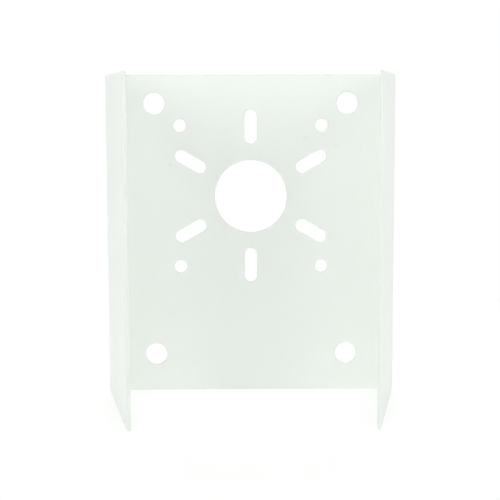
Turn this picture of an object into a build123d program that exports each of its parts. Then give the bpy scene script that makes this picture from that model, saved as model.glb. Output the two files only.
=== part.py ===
from build123d import *

import os
from math import cos, radians, sin

# Camera mount bracket: one steel sheet folded into a channel. A flat plate carries the camera,
# and two plain flanges stand off its long sides and lean in over it.
# Millimetres. X is right, Y is away from the flanges and Z is up, with the origin at the centre
# of the cable hole, on the plate's flat outer face.

# Folded sheet
sheet = 1.5
inner_bend_radius = 1.5
overall_width = 130.0  # widest, across the two folds
overall_depth = 75.0  # from the plate's outer face to the flanges' free edges
overall_height = 144.0
flange_lean = 11.0  # degrees, how far each flange leans in from square to the plate
corner_radius = 1.0  # on the flanges' free corners

# Holes in the plate, sizes over the coating
cable_hole_diameter = 32.8
cable_hole_below_top = 54.6

corner_hole_diameter = 9.8
corner_hole_from_side = 21.5
corner_hole_below_top = 12.7
corner_hole_above_bottom = 16.8

base_hole_diameter = 5.8
base_hole_spacing = 64.0  # both ways, centred on the cable hole

slot_count = 6
slot_circle_diameter = 63.0  # through the slots' middles, centred on the cable hole
slot_width = 5.8
slot_length = 15.4  # end to end

# Places that follow from the sizes
outer_bend_radius = inner_bend_radius + sheet
top = cable_hole_below_top
bottom = top - overall_height
corner_hole_spacing_x = overall_width - 2 * corner_hole_from_side
upper_row = top - corner_hole_below_top
lower_row = bottom + corner_hole_above_bottom
flange_depth = overall_depth - outer_bend_radius * (1 + sin(radians(flange_lean)))
flange_length = flange_depth / cos(radians(flange_lean))


def section() -> Sketch:
    """Cross-section of the channel, seen from above: plate, two folds and two leaning flanges."""
    with BuildSketch(Plane.XY.offset(bottom)) as channel:
        with BuildLine():
            plate = Line((0, 0), (overall_width / 2 - outer_bend_radius, 0))
            fold = JernArc(plate @ 1, plate % 1, outer_bend_radius, -(90 + flange_lean))
            Line(fold @ 1, fold @ 1 + flange_length * (fold % 1))
            offset(amount=sheet, side=Side.RIGHT)
        make_face()
        mirror(about=Plane.YZ)
    return channel.sketch


def plate_holes() -> Sketch:
    """Outlines of everything punched through the plate, drawn on its outer face."""
    with BuildSketch(Plane.XZ) as holes:
        Circle(cable_hole_diameter / 2)
        with GridLocations(base_hole_spacing, base_hole_spacing, 2, 2):
            Circle(base_hole_diameter / 2)
        with PolarLocations(slot_circle_diameter / 2, slot_count, start_angle=90):
            SlotOverall(slot_length, slot_width)
        with Locations((0, (upper_row + lower_row) / 2)):
            with GridLocations(corner_hole_spacing_x, upper_row - lower_row, 2, 2):
                Circle(corner_hole_diameter / 2)
    return holes.sketch


def bracket() -> Part:
    """The folded sheet with its corners rounded and its plate punched."""
    with BuildPart() as body:
        add(extrude(section(), amount=overall_height))
        free_edges = body.faces().sort_by(Axis.Y)[:2]
        fillet(free_edges.edges().filter_by(Axis.Z, reverse=True), radius=corner_radius)
        extrude(plate_holes(), amount=2 * sheet, both=True, mode=Mode.SUBTRACT)
    return body.part


os.makedirs("parts", exist_ok=True)
export_step(bracket(), "parts/bracket.step")
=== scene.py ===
"""Camera mount bracket: one steel sheet, punched, folded into a channel and powder coated white.

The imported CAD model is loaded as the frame. The visible piece is the same folded sheet with the
softened, coated edges of the real one. Sizes in the classes are millimetres and degrees, in the
CAD's own axes: X right, Y away from the flanges, Z up, from the middle of the cable hole on the
plate's outer face. Meshes and places in the scene are metres.
"""

import logging
import math
from dataclasses import dataclass
from enum import Enum

import bpy
import numpy as np
from mathutils import Euler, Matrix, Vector
from mathutils.geometry import delaunay_2d_cdt


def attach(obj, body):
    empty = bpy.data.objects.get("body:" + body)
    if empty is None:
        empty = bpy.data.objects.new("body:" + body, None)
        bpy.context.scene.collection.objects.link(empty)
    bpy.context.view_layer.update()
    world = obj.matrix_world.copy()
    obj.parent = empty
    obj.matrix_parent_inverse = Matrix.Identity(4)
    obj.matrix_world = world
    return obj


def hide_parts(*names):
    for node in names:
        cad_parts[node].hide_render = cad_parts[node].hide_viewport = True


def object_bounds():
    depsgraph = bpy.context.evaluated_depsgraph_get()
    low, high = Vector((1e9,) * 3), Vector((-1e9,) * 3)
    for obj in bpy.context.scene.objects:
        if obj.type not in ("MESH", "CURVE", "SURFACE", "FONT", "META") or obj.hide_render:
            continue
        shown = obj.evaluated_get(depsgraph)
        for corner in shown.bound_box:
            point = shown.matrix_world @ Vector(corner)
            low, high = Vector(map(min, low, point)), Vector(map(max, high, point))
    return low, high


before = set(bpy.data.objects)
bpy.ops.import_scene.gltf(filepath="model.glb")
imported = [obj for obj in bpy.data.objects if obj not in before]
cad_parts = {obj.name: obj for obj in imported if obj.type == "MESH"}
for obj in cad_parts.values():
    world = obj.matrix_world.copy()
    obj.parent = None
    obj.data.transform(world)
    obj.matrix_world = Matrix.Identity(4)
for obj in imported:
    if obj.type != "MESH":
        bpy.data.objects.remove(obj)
cad_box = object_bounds()

MM = 0.001
SAME_POINT = 1e-7  # two points of the blank that are nearer than this, in millimetres, are one
PLAIN_WHITE = "#FFFFFF"  # what is seen behind the bracket
LIGHT_TINT = "#FBFFFB"  # a very faint green

log = logging.getLogger("camera_mount_bracket")


def linear(srgb: str) -> tuple[float, float, float, float]:
    """Turns an sRGB hex colour into linear light.

    Args:
        srgb: Six hex digits after a hash, such as "#EBF1EA".

    Returns:
        Red, green, blue and an alpha of one.
    """
    share = np.array([int(srgb[i : i + 2], 16) for i in (1, 3, 5)]) / 255
    light = np.where(share <= 0.04045, share / 12.92, ((share + 0.055) / 1.055) ** 2.4)
    return (*(float(c) for c in light), 1.0)


def per_metre(feature: float) -> float:
    """Texture scale at which one feature of a pattern is this many millimetres wide."""
    return 1 / (feature * MM)


def add_node(
    tree: bpy.types.NodeTree,
    kind: str,
    inputs: dict[str | int, object] | None = None,
    **settings: object,
) -> bpy.types.Node:
    """Adds one node with its settings and what feeds its inputs.

    Args:
        tree: The node tree that gets the node.
        kind: The node's type name.
        inputs: For an input's name or number, a value to set or a socket to link. A node stands
            for its first output.
        **settings: Properties of the node, by name.

    Returns:
        The new node.
    """
    node = tree.nodes.new(kind)
    for name, value in settings.items():
        setattr(node, name, value)
    for key, value in (inputs or {}).items():
        if isinstance(value, bpy.types.Node):
            value = value.outputs[0]
        if isinstance(value, bpy.types.NodeSocket):
            tree.links.new(value, node.inputs[key])
        else:
            node.inputs[key].default_value = value
    return node


def unit_arc(degrees: tuple[float, float], steps: int) -> np.ndarray:
    """Points on an arc of the unit circle: the cosine and the sine of the angle.

    Args:
        degrees: First and last angle, anticlockwise from the first axis.
        steps: Number of equal steps between them.

    Returns:
        steps + 1 points, one a row, which are also the circle's outward vectors there.
    """
    angle = np.radians(np.linspace(*degrees, steps + 1))
    return np.stack([np.cos(angle), np.sin(angle)], axis=1)


@dataclass(frozen=True)
class Nib:
    """A speck of dust or grit under the coat: its place, diameter and share of grey."""

    place: tuple[float, float, float]
    diameter: float
    shade: float


@dataclass(frozen=True)
class Patches:
    """An unevenness of the coat that comes in patches of one width, drawn with a noise.

    Noise between the two values of span becomes a share between the two values of share.
    """

    width: float
    detail: float
    roughness: float
    span: tuple[float, float]
    share: tuple[float, float]


@dataclass(frozen=True)
class PowderCoat:
    """Polyester powder coat, satin white, sprayed on steel and baked.

    To the eye it is an even, faintly green-grey white with a soft sheen. Close to, it has the fine
    orange peel of powder that has flowed in the oven, is greyer on the cut edges, where the coat is
    thin and painted shade darkens the cut faces, and holds a few dust nibs.
    """

    white: str = "#F3F5F3"
    thick_white: str = "#F4F6F4"
    # Grey of the cut edges: partly a thin coat, partly painted shade on the cut faces.
    thin_coat_and_shade_grey: str = "#D2D7D2"
    nib_grey: str = "#BFC6BF"
    ior: float = 1.5
    roughness: float = 0.42
    peel: float = 1.8  # width of one orange-peel dimple
    peel_detail: float = 1.0
    peel_height: float = 0.006
    peel_gloss: float = 0.08  # how much the gloss varies over a dimple
    rubbed_roughness: float = 0.25  # added where the coat is thin and rubbed
    nib_height: float = 3.0  # in dimples
    nib_middle: float = 0.2  # share of a nib's radius that is its flat middle
    drift: Patches = Patches(38.0, 2, 0.5, (0.3, 0.7), (0.0, 1.0))  # where the film is thicker
    # Real pigment mottle is under 0.1 mm wide. It is drawn coarser, so that it shows.
    mottle: Patches = Patches(0.9, 3, 0.6, (0.35, 0.75), (0.0, 0.05))
    rub_and_shade: Patches = Patches(7.0, 2, 0.5, (0.3, 0.7), (0.45, 0.5))  # how much of the cut edges is grey: thin coat and painted shade
    nibs: tuple[Nib, ...] = (
        Nib((-36.5, -1.5, 14.3), 1.7, 0.28),
        Nib((38.6, -1.5, 22.6), 2.8, 0.13),
        Nib((24.6, -1.5, 26.3), 3.0, 0.13),
        Nib((16.0, -1.5, -53.8), 1.0, 0.2),
        Nib((-48.0, -1.5, -53.5), 1.2, 0.1),
        Nib((-21.0, 0.0, -47.5), 1.1, 0.25),
        Nib((47.2, 0.0, 8.4), 0.8, 0.15),
        Nib((-60.6, -27.5, 33.0), 0.9, 0.15),
        Nib((57.8, -40.2, -38.0), 1.0, 0.2),
    )

    def material(self) -> bpy.types.Material:
        """Builds the coat's node material, on Object coordinates and the thin_coat_and_shade
        attribute.

        Each unevenness is a noise of its own width. The colour goes from white towards the greys
        by the patches, by how thin the coat is with painted shade on the cut faces, and by the
        nibs.
        A nib is a smooth fall from its middle to its rim, and the relief is the orange peel with
        the nibs on it.

        Returns:
            The material.
        """
        made = bpy.data.materials.new("satin_white_powder_coat")
        made.use_nodes = True
        tree = made.node_tree
        tree.nodes.clear()
        spot = add_node(tree, "ShaderNodeTexCoord").outputs["Object"]
        feeds = {"Vector": spot, "Scale": per_metre(self.peel), "Detail": self.peel_detail}
        peel = add_node(tree, "ShaderNodeTexNoise", feeds)

        shares = []
        for patches in (self.drift, self.mottle, self.rub_and_shade):
            feeds = {"Vector": spot, "Scale": per_metre(patches.width)}
            feeds |= {"Detail": patches.detail, "Roughness": patches.roughness}
            noise = add_node(tree, "ShaderNodeTexNoise", feeds)
            ends = ("From Min", "From Max", "To Min", "To Max")
            feeds = {"Value": noise} | dict(zip(ends, patches.span + patches.share))
            share = add_node(tree, "ShaderNodeMapRange", feeds, interpolation_type="SMOOTHSTEP")
            shares.append(share)
        drift, mottle, rub_and_shade = shares
        # The cut faces are greyer: partly the thin coat, partly painted shade.
        thin = add_node(tree, "ShaderNodeAttribute", attribute_name="thin_coat_and_shade").outputs["Fac"]
        rubbed_and_shaded = add_node(tree, "ShaderNodeMath", {0: thin, 1: rub_and_shade}, operation="MULTIPLY")

        specks: bpy.types.Node | float = 0.0
        for nib in self.nibs:
            place = tuple(c * MM for c in nib.place)
            gap = add_node(tree, "ShaderNodeVectorMath", {0: spot, 1: place}, operation="DISTANCE")
            radius = nib.diameter / 2 * MM
            feeds = {"Value": gap.outputs["Value"], "From Min": self.nib_middle * radius}
            feeds |= {"From Max": radius, "To Min": nib.shade, "To Max": 0.0}
            speck = add_node(tree, "ShaderNodeMapRange", feeds, interpolation_type="SMOOTHSTEP")
            specks = add_node(tree, "ShaderNodeMath", {0: specks, 1: speck}, operation="MAXIMUM")

        # The colours of a Mix node are its inputs 6 and 7 and its output 2.
        colour = linear(self.white)
        layers = [(drift, self.thick_white), (mottle, self.thin_coat_and_shade_grey)]
        layers += [(rubbed_and_shaded, self.thin_coat_and_shade_grey), (specks, self.nib_grey)]
        for share, shade in layers:
            feeds = {0: share, 6: colour, 7: linear(shade)}
            colour = add_node(tree, "ShaderNodeMix", feeds, data_type="RGBA").outputs[2]

        feeds = {0: peel, 1: self.peel_gloss, 2: self.roughness - self.peel_gloss / 2}
        uneven = add_node(tree, "ShaderNodeMath", feeds, operation="MULTIPLY_ADD")
        feeds = {0: rubbed_and_shaded, 1: self.rubbed_roughness, 2: uneven}
        roughness = add_node(tree, "ShaderNodeMath", feeds, operation="MULTIPLY_ADD")

        feeds = {0: specks, 1: self.nib_height, 2: peel}
        relief = add_node(tree, "ShaderNodeMath", feeds, operation="MULTIPLY_ADD")
        # The noise uses about half of its range, so its whole range is two dimples high.
        feeds = {"Height": relief, "Distance": 2 * self.peel_height * MM, "Strength": 1.0}
        bump = add_node(tree, "ShaderNodeBump", feeds)

        feeds = {"Base Color": colour, "Roughness": roughness, "Normal": bump, "IOR": self.ior}
        coat = add_node(tree, "ShaderNodeBsdfPrincipled", feeds)
        add_node(tree, "ShaderNodeOutputMaterial", {"Surface": coat})
        return made


class Corner(Enum):
    """A free corner of the blank: the signs of its two coordinates, in the order of the outline."""

    LOWER_RIGHT = (1, -1)
    UPPER_RIGHT = (1, 1)
    UPPER_LEFT = (-1, 1)
    LOWER_LEFT = (-1, -1)


@dataclass(frozen=True)
class CutLine:
    """A closed line along which the blank was cut, with the metal on its left.

    points holds its points in the flat blank, and inward the unit vectors from them into the metal.
    """

    points: np.ndarray
    inward: np.ndarray

    def inset(self, distance: float) -> np.ndarray:
        """The line moved into the metal by a distance: each point plus that much of its inward."""
        return self.points + distance * self.inward


@dataclass(frozen=True)
class CutEdge:
    """Profile of a cut edge: the sheet's two corners, rounded by deburring and the coat."""

    rounding: float = 0.35
    steps: int = 5

    def rows(self, sheet: float) -> tuple[np.ndarray, np.ndarray, np.ndarray, np.ndarray]:
        """Works out the profile from the outer face, round the edge, to the inner face.

        The angle goes from 0 to 90 degrees round the first corner and from 90 to 180 round the
        second. The inset is r (1 - sin angle). The depth is r (1 - cos angle) on the first corner
        and the sheet less r (1 + cos angle) on the second. The coat is thinner towards the middle
        of the cut, by the sine of the angle, and by the same share shade is painted on the cut
        face.

        Args:
            sheet: The sheet's thickness.

        Returns:
            For each row of the profile its inset, depth, angle in radians, and the coat's thinness,
            which also paints shade.
        """
        first = np.linspace(0, math.pi / 2, self.steps + 1)
        angle = np.concatenate([first, first + math.pi / 2])
        inset = self.rounding * (1 - np.sin(angle))
        near = self.rounding * (1 - np.cos(angle))
        far = sheet - self.rounding * (1 + np.cos(angle))
        depth = np.where(np.arange(len(angle)) > self.steps, far, near)
        return inset, depth, angle, np.sin(angle)


@dataclass(frozen=True)
class FoldedSheet:
    """The bracket: a plate with two plain flanges that lean in over its inner face."""

    sheet: float = 1.5
    inner_bend_radius: float = 1.5
    overall_width: float = 130.0
    overall_depth: float = 75.0
    overall_height: float = 144.0
    flange_lean: float = 11.0
    corner_radius: float = 1.0

    cable_hole_diameter: float = 32.8
    cable_hole_below_top: float = 54.6
    corner_hole_diameter: float = 9.8
    corner_hole_from_side: float = 21.5
    corner_hole_below_top: float = 12.7
    corner_hole_above_bottom: float = 16.8
    base_hole_diameter: float = 5.8
    base_hole_spacing: float = 64.0
    slot_count: int = 6
    slot_circle_diameter: float = 63.0
    slot_width: float = 5.8
    slot_length: float = 15.4

    edge: CutEdge = CutEdge()
    finish: PowderCoat = PowderCoat()
    fold_steps: int = 16  # facets round a fold
    fold_rows: int = 24  # facets up a fold
    corner_steps: int = 6  # facets round a corner, and below round each hole and slot end
    cable_hole_steps: int = 128
    corner_hole_steps: int = 56
    base_hole_steps: int = 44
    slot_end_steps: int = 20

    @property
    def outer_radius(self) -> float:
        """Radius of a fold's outer face."""
        return self.inner_bend_radius + self.sheet

    @property
    def fold_start(self) -> float:
        """Distance from the plate's middle line at which the fold starts."""
        return self.overall_width / 2 - self.outer_radius

    @property
    def fold_turn(self) -> float:
        """Angle that the sheet turns through in a fold, in radians."""
        return math.radians(90 + self.flange_lean)

    @property
    def fold_end(self) -> float:
        """Distance along the outer face from the middle line at which the fold ends."""
        return self.fold_start + self.outer_radius * self.fold_turn

    @property
    def flange_depth(self) -> float:
        """Depth of a flange's straight part, from the end of its fold to its free edge."""
        lean = math.radians(self.flange_lean)
        return self.overall_depth - self.outer_radius * (1 + math.sin(lean))

    @property
    def blank_half(self) -> float:
        """Half the blank's width, along the outer face."""
        return self.fold_end + self.flange_depth / math.cos(math.radians(self.flange_lean))

    @property
    def top(self) -> float:
        """Height of the upper edge over the cable hole."""
        return self.cable_hole_below_top

    @property
    def bottom(self) -> float:
        """Height of the lower edge, below the cable hole."""
        return self.top - self.overall_height

    def fold_lines(self) -> np.ndarray:
        """Places along the blank where the folds' facets meet, from left to right."""
        right = np.linspace(self.fold_start, self.fold_end, self.fold_steps + 1)
        return np.concatenate([-right[::-1], right])

    def straight_edge(self, height: float, up: int, order: int) -> np.ndarray:
        """The lower or upper edge of the blank: the fold lines' ends at one height.

        Args:
            height: Height of the edge.
            up: 1 where the metal lies above the edge, and -1 where it lies below.
            order: 1 from left to right, and -1 from right to left.

        Returns:
            For each point its place and then its inward vector, one point a row.
        """
        across = self.fold_lines()[::order]
        level = np.zeros_like(across)
        return np.column_stack([across, level + height, level, level + up])

    def free_corner(self, corner: Corner) -> np.ndarray:
        """A free corner of the blank: a quarter circle, whose inward vectors point at its centre.

        The centre lies one corner radius from both edges.

        Args:
            corner: Which corner it is.

        Returns:
            For each point its place and then its inward vector, one point a row.
        """
        across, up = corner.value
        reach = np.array([self.blank_half, self.top if up > 0 else -self.bottom])
        centre = (reach - self.corner_radius) * corner.value
        first = math.degrees(math.atan2(up, across)) - 45
        out = unit_arc((first, first + 90), self.corner_steps)
        return np.hstack([centre + self.corner_radius * out, -out])

    def outline(self) -> CutLine:
        """The blank's outer edge: the lower edge, two corners, the upper edge, two corners.

        Returns:
            The outline, anticlockwise, as seen from the flanges' side.
        """
        parts = [self.straight_edge(self.bottom, 1, 1)]
        parts += [self.free_corner(c) for c in (Corner.LOWER_RIGHT, Corner.UPPER_RIGHT)]
        parts += [self.straight_edge(self.top, -1, -1)]
        parts += [self.free_corner(c) for c in (Corner.UPPER_LEFT, Corner.LOWER_LEFT)]
        whole = np.vstack(parts)
        return CutLine(whole[:, :2], whole[:, 2:])

    def round_hole(self, centre: tuple[float, float], diameter: float, steps: int) -> CutLine:
        """A round hole's edge: a clockwise circle, whose inward vectors point from its centre."""
        out = unit_arc((360, 0), steps)[:-1]
        return CutLine(np.array(centre) + diameter / 2 * out, out)

    def slot(self, degrees: float) -> CutLine:
        """A radial slot's edge: two half circles, each about one end's centre, turned to an angle.

        Args:
            degrees: Direction of the slot's middle from the cable hole, anticlockwise from right.

        Returns:
            The edge, clockwise.
        """
        half = (self.slot_length - self.slot_width) / 2
        steps = self.slot_end_steps
        out = np.vstack([unit_arc(angles, steps) for angles in ((90, -90), (270, 90))])
        shift = np.repeat([half, -half], steps + 1) + self.slot_circle_diameter / 2
        points = self.slot_width / 2 * out + np.stack([shift, np.zeros_like(shift)], axis=1)
        turn = math.radians(degrees)
        turned = np.array([[math.cos(turn), math.sin(turn)], [-math.sin(turn), math.cos(turn)]])
        return CutLine(points @ turned, out @ turned)

    def holes(self) -> list[CutLine]:
        """Edges of everything punched through the plate.

        Returns:
            The cable hole, each side's corner holes and base holes, and the slots, anticlockwise
            from the top.
        """
        across = self.overall_width / 2 - self.corner_hole_from_side
        rows = (self.top - self.corner_hole_below_top, self.bottom + self.corner_hole_above_bottom)
        base = self.base_hole_spacing / 2
        large = (self.corner_hole_diameter, self.corner_hole_steps)
        small = (self.base_hole_diameter, self.base_hole_steps)
        made = [self.round_hole((0, 0), self.cable_hole_diameter, self.cable_hole_steps)]
        for side in (-1, 1):
            made += [self.round_hole((side * across, z), *large) for z in rows]
            made += [self.round_hole((side * base, z), *small) for z in (base, -base)]
        made += [self.slot(90 + 360 * i / self.slot_count) for i in range(self.slot_count)]
        return made

    def carry(
        self, blank: np.ndarray, depth: float | np.ndarray
    ) -> tuple[np.ndarray, np.ndarray, np.ndarray]:
        """Folds points of the flat blank into the channel.

        A point lies at a distance along the blank from its middle line and at a height. The turn
        there is zero on the plate, grows evenly round the fold, and is the fold's whole angle on
        the flange. Round the fold's centre the point is at the outer radius less its depth, and
        past the fold it runs straight on in the direction of the whole turn.

        Args:
            blank: Distances along the blank and heights, one point a row.
            depth: Depth of the points under the outer face.

        Returns:
            For each point its place, the direction along the blank, and the outer face's normal.
        """
        along, height = np.abs(blank[:, 0]), blank[:, 1]
        side = np.where(blank[:, 0] < 0, -1.0, 1.0)
        turn = np.clip((along - self.fold_start) / self.outer_radius, 0, self.fold_turn)
        sine, cosine = np.sin(turn), np.cos(turn)
        radius = self.outer_radius - depth
        past = np.maximum(along - self.fold_end, 0)
        x = np.minimum(along, self.fold_start) + radius * sine + past * cosine
        y = radius * cosine - self.outer_radius - past * sine
        level = np.zeros_like(x)
        place = np.stack([side * x, y, height], axis=1)
        direction = np.stack([cosine, -side * sine, level], axis=1)
        normal = np.stack([side * sine, cosine, level], axis=1)
        return place, direction, normal

    def cut_strip(self, line: CutLine) -> tuple[np.ndarray, np.ndarray, np.ndarray]:
        """Carries the cut edge's profile along a cut line, through the folds.

        The normal turns with the profile's angle: its cosine of the outer face's normal, less its
        sine of the inward direction.

        Args:
            line: The cut line to follow.

        Returns:
            Places, normals and how thin the coat is, which also paints shade, row after row of the
            profile.
        """
        places, normals, thins = [], [], []
        for inset, depth, angle, thin in zip(*self.edge.rows(self.sheet)):
            place, direction, normal = self.carry(line.inset(inset), depth)
            inward = direction * line.inward[:, :1]
            inward[:, 2] = line.inward[:, 1]
            places.append(place)
            normals.append(math.cos(angle) * normal - math.sin(angle) * inward)
            thins.append(np.full(len(place), thin))
        return np.vstack(places), np.vstack(normals), np.concatenate(thins)

    def flat_pattern(self, lines: list[CutLine]) -> tuple[np.ndarray, np.ndarray]:
        """Fills the blank between its cut lines with triangles that follow the fold lines.

        Points stand in even rows on every fold line, so that a fold is a surface of the angle and
        the height. A triangle whose three corners are on one hole's edge lies in that hole and is
        left out.

        Args:
            lines: The outline and then the holes.

        Returns:
            The points on the fold lines and the triangles, which count the cut lines' points first
            and then those.
        """
        inset = self.edge.rounding
        rims = [line.inset(inset) for line in lines]
        owner = np.repeat(np.arange(len(rims)), [len(rim) for rim in rims])
        folds = self.fold_lines()
        heights = np.linspace(self.bottom + inset, self.top - inset, self.fold_rows + 1)[1:-1]
        grid = np.stack(np.meshgrid(folds, heights, indexing="ij"), axis=-1)
        inner = len(owner) + np.arange(grid[..., 0].size).reshape(grid.shape[:2])
        # In the outline the upper edge comes after the lower edge and two corners.
        lower = np.arange(len(folds))
        upper = len(folds) + 2 * (self.corner_steps + 1) + lower[::-1]
        chains = np.column_stack([lower, inner, upper])
        edges = [np.column_stack([chains[:, :-1].ravel(), chains[:, 1:].ravel()])]
        for number in range(len(rims)):
            ring = np.flatnonzero(owner == number)
            edges.append(np.column_stack([ring, np.roll(ring, -1)]))
        points = np.vstack([*rims, grid.reshape(-1, 2)])
        found = delaunay_2d_cdt(points.tolist(), np.vstack(edges).tolist(), [], 0, SAME_POINT)
        _, _, faces, own_points, _, _ = found
        triangles = np.concatenate(own_points)[np.array(faces)]
        owner = np.concatenate([owner, np.full(grid[..., 0].size, -1)])
        corners = owner[triangles]
        in_hole = (corners[:, 0] > 0) & (np.ptp(corners, axis=1) == 0)
        return grid.reshape(-1, 2), triangles[~in_hole]

    def build(self) -> bpy.types.Object:
        """Builds the sheet as one closed surface: both faces, and a strip along every cut line.

        Returns:
            The piece, with exact normals, and the coat's thinness and painted shade as the
            attribute thin_coat_and_shade.
        """
        lines = [self.outline(), *self.holes()]
        inner, triangles = self.flat_pattern(lines)
        places, normals, thins, quads = [], [], [], []
        outer_of, inner_of, first = [], [], 0
        rows = 2 * (self.edge.steps + 1)
        for line in lines:
            count = len(line.points)
            number = first + np.arange(rows * count).reshape(rows, count)
            after = np.roll(number, -1, axis=1)
            corners = (number[:-1], after[:-1], after[1:], number[1:])
            quads.append(np.stack(corners, axis=-1).reshape(-1, 4))
            for kept, made in zip((places, normals, thins), self.cut_strip(line)):
                kept.append(made)
            outer_of.append(number[0])
            inner_of.append(number[-1])
            first += rows * count
        for depth, sign, numbers in ((0.0, 1, outer_of), (self.sheet, -1, inner_of)):
            place, _, normal = self.carry(inner, depth)
            places.append(place)
            normals.append(sign * normal)
            thins.append(np.zeros(len(place)))
            numbers.append(first + np.arange(len(place)))
            first += len(place)
        outer_face = np.concatenate(outer_of)[triangles[:, ::-1]]
        inner_face = np.concatenate(inner_of)[triangles]
        faces = np.vstack(quads).tolist() + outer_face.tolist() + inner_face.tolist()

        mesh = bpy.data.meshes.new("folded_sheet")
        mesh.from_pydata(np.vstack(places) * MM, [], faces, shade_flat=False)
        mesh.normals_split_custom_set_from_vertices(np.vstack(normals))
        thin_coat_and_shade = mesh.attributes.new("thin_coat_and_shade", "FLOAT", "POINT")
        thin_coat_and_shade.data.foreach_set("value", np.concatenate(thins).astype(np.float32))
        piece = bpy.data.objects.new("folded_sheet", mesh)
        bpy.context.scene.collection.objects.link(piece)
        return piece

    def dress(self, piece: bpy.types.Object) -> None:
        """Gives the piece its finish, and its place in the frame as the bracket's stand-in.

        Args:
            piece: The folded sheet's object.
        """
        piece.data.materials.append(self.finish.material())
        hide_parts("bracket")
        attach(piece, "root")


@dataclass(frozen=True)
class Softbox:
    """A rectangular soft light that faces the bracket.

    Azimuth 0 stands before the flanges and 90 to their right. The glow is the light's own
    brightness, where a glow of 1 all round would show a colour as it is written.
    """

    name: str
    azimuth: float
    elevation: float
    distance: float
    width: float
    height: float
    glow: float

    def build(self, aim: Vector) -> bpy.types.Object:
        """Places the light on the line from the aim at its azimuth and elevation.

        Args:
            aim: The point that it faces, in metres.

        Returns:
            The light's object.
        """
        turn, rise = math.radians(self.azimuth), math.radians(self.elevation)
        level = math.cos(rise)
        out = Vector((math.sin(turn) * level, -math.cos(turn) * level, math.sin(rise)))
        lamp = bpy.data.lights.new(self.name, "AREA")
        lamp.shape = "RECTANGLE"
        lamp.size, lamp.size_y = self.width * MM, self.height * MM
        lamp.energy = self.glow * math.pi * lamp.size * lamp.size_y
        lamp.color = linear(LIGHT_TINT)[:3]
        made = bpy.data.objects.new(self.name, lamp)
        made.location = aim + out * self.distance * MM
        made.rotation_euler = (-out).to_track_quat("-Z", "Y").to_euler()
        made.visible_camera = False
        bpy.context.scene.collection.objects.link(made)
        log.info("light %s: glow %.2f", self.name, self.glow)
        return made


def seen(tree: bpy.types.NodeTree) -> bpy.types.Node:
    """Tells what is seen from what only lights the bracket.

    Args:
        tree: The node tree that gets the nodes.

    Returns:
        A node that gives one for rays of the camera, of reflections and through glass, and zero
        for the others.
    """
    path = add_node(tree, "ShaderNodeLightPath").outputs
    feeds = {0: path["Is Camera Ray"], 1: path["Is Glossy Ray"]}
    either = add_node(tree, "ShaderNodeMath", feeds, operation="MAXIMUM")
    feeds = {0: either, 1: path["Is Transmission Ray"]}
    return add_node(tree, "ShaderNodeMath", feeds, operation="MAXIMUM")


@dataclass(frozen=True)
class Tabletop:
    """A matt white laminate top, so wide that its edge lies on the horizon.

    To the bracket it is a plain pale surface that throws light back, and it glows with light of its
    own, as a lamp under it would. To the eye it is white, and near the bracket it keeps a share of
    its real light, so that the bracket's shadow shows on it.
    """

    width: float = 40000.0
    laminate: str = "#EFEFEE"
    glow: float = 0.23  # light of its own, as from a lamp under it, besides what it reflects
    shadow_share: float = 0.35  # share of its real light and shadow that is seen
    shadow_white: float = 0.69  # white added to that share, so that the open table is white
    shadow_reach: tuple[float, float] = (180.0, 420.0)  # distances over which it fades to white

    def material(self) -> bpy.types.Material:
        """Builds the laminate's node material, on Object coordinates.

        Its look fades from the shaded white to plain white by the distance from the bracket.

        Returns:
            The material.
        """
        made = bpy.data.materials.new("matt_white_laminate")
        made.use_nodes = True
        tree = made.node_tree
        tree.nodes.clear()

        layers = []
        # The first layer lights the bracket, with the laminate's own glow standing in for a lamp
        # under it.
        for share, tint, glow in (
            (1.0, LIGHT_TINT, self.glow),
            (self.shadow_share, PLAIN_WHITE, self.shadow_white),
        ):
            colour = (*(share * c for c in linear(self.laminate)[:3]), 1.0)
            matt = add_node(tree, "ShaderNodeBsdfDiffuse", {"Color": colour})
            shine = add_node(tree, "ShaderNodeEmission", {"Color": linear(tint), "Strength": glow})
            layers.append(add_node(tree, "ShaderNodeAddShader", {0: matt, 1: shine}))
        real, shaded = layers

        spot = add_node(tree, "ShaderNodeTexCoord").outputs["Object"]
        away = add_node(tree, "ShaderNodeVectorMath", {0: spot}, operation="LENGTH")
        near, far = (reach * MM for reach in self.shadow_reach)
        feeds = {"Value": away.outputs["Value"], "From Min": near, "From Max": far}
        fade = add_node(tree, "ShaderNodeMapRange", feeds, interpolation_type="SMOOTHSTEP")
        feeds = {"Color": linear(PLAIN_WHITE), "Strength": 1.0}
        plain = add_node(tree, "ShaderNodeEmission", feeds)
        looks = add_node(tree, "ShaderNodeMixShader", {0: fade, 1: shaded, 2: plain})
        either = add_node(tree, "ShaderNodeMixShader", {0: seen(tree), 1: real, 2: looks})
        add_node(tree, "ShaderNodeOutputMaterial", {"Surface": either})
        return made

    def build(self, height: float) -> bpy.types.Object:
        """Lays the table under the bracket: a flat sheet of two parameters, at one height.

        Args:
            height: Height of the bracket's lowest point, in metres.

        Returns:
            The table's object.
        """
        half = self.width / 2 * MM
        grid = np.stack(np.meshgrid([-half, half], [-half, half]), axis=-1).reshape(-1, 2)
        mesh = bpy.data.meshes.new("tabletop")
        places = np.column_stack([grid, np.full(len(grid), height)])
        mesh.from_pydata(places, [], [(0, 1, 3, 2)])
        mesh.materials.append(self.material())
        table = bpy.data.objects.new("tabletop", mesh)
        bpy.context.scene.collection.objects.link(table)
        return table


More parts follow.
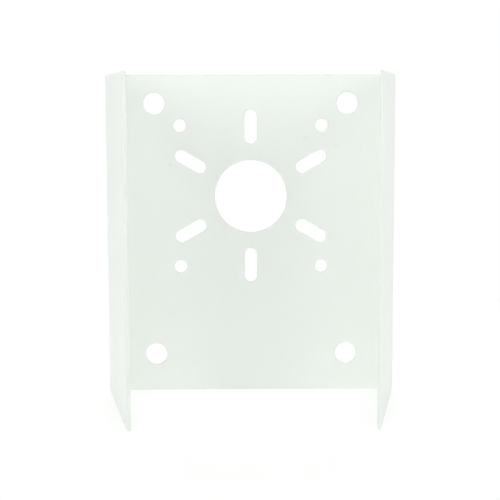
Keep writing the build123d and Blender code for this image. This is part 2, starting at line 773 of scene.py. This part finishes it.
@dataclass(frozen=True)
class Studio:
    """A plain white room with a table, under soft lights."""

    room_glow: float = 0.246
    tabletop: Tabletop = Tabletop()
    # Azimuth, elevation, distance, width, height and glow.
    lights: tuple[Softbox, ...] = (
        Softbox("light_over", 0, 74, 420, 460, 260, 1.55),
        Softbox("light_left", -43, 16, 900, 420, 600, 3.03),
        Softbox("light_right", 43, 16, 900, 420, 600, 2.62),
        Softbox("light_behind", 180, 30, 1000, 900, 700, 2.1),
    )
    # Reaches the table alone, and casts the bracket's shadow on it, behind the plate.
    table_light: Softbox = Softbox("light_on_table", 0, 62, 3000, 1100, 1100, 4.6)

    def room(self) -> None:
        """Makes the room: an even glow on the bracket, and plain white to look at."""
        world = bpy.data.worlds.new("plain_room")
        world.use_nodes = True
        tree = world.node_tree
        tree.nodes.clear()
        feeds = {"Color": linear(LIGHT_TINT), "Strength": self.room_glow}
        glow = add_node(tree, "ShaderNodeBackground", feeds)
        feeds = {"Color": linear(PLAIN_WHITE), "Strength": 1.0}
        plain = add_node(tree, "ShaderNodeBackground", feeds)
        either = add_node(tree, "ShaderNodeMixShader", {0: seen(tree), 1: glow, 2: plain})
        add_node(tree, "ShaderNodeOutputWorld", {"Surface": either})
        bpy.context.scene.world = world

    def build(self, box: tuple[Vector, Vector]) -> None:
        """Builds the room, the table and the lights round a box.

        Args:
            box: The bracket's lowest and highest corners, in metres.
        """
        self.room()
        table = self.tabletop.build(box[0].z)
        aim = (box[0] + box[1]) / 2
        for light in self.lights:
            light.build(aim)
        lit = bpy.data.collections.new("lit_by_table_light")
        lit.objects.link(table)
        self.table_light.build(aim).light_linking.receiver_collection = lit


@dataclass(frozen=True)
class PhotoCamera:
    """The camera of the photograph, fitted to the bracket's holes and edges."""

    place: tuple[float, float, float] = (-8.231, -555.677, 41.713)
    degrees: tuple[float, float, float] = (83.177, 0.1589, -0.823)
    lens: float = 88.02
    sensor: float = 36.0
    clip: tuple[float, float] = (10.0, 100000.0)  # nearest and farthest that it sees

    def build(self) -> bpy.types.Object:
        """Makes the camera and gives it to the scene.

        Returns:
            The camera's object.
        """
        data = bpy.data.cameras.new("photo_camera")
        data.lens, data.sensor_width = self.lens, self.sensor
        data.clip_start, data.clip_end = (reach * MM for reach in self.clip)
        made = bpy.data.objects.new("photo_camera", data)
        made.location = Vector(self.place) * MM
        made.rotation_euler = Euler([math.radians(a) for a in self.degrees], "XYZ")
        bpy.context.scene.collection.objects.link(made)
        bpy.context.scene.camera = made
        return made


def main() -> None:
    """Builds the camera, the studio and the bracket."""
    logging.basicConfig(level=logging.INFO, format="%(name)s: %(message)s")
    bpy.context.scene.view_settings.view_transform = "Standard"
    PhotoCamera().build()
    Studio().build(cad_box)

    bracket = FoldedSheet()
    piece = bracket.build()
    bracket.dress(piece)
    counts = len(piece.data.vertices), len(piece.data.polygons)
    log.info("piece %s: %d points, %d faces", piece.name, *counts)


if __name__ == "__main__":
    main()
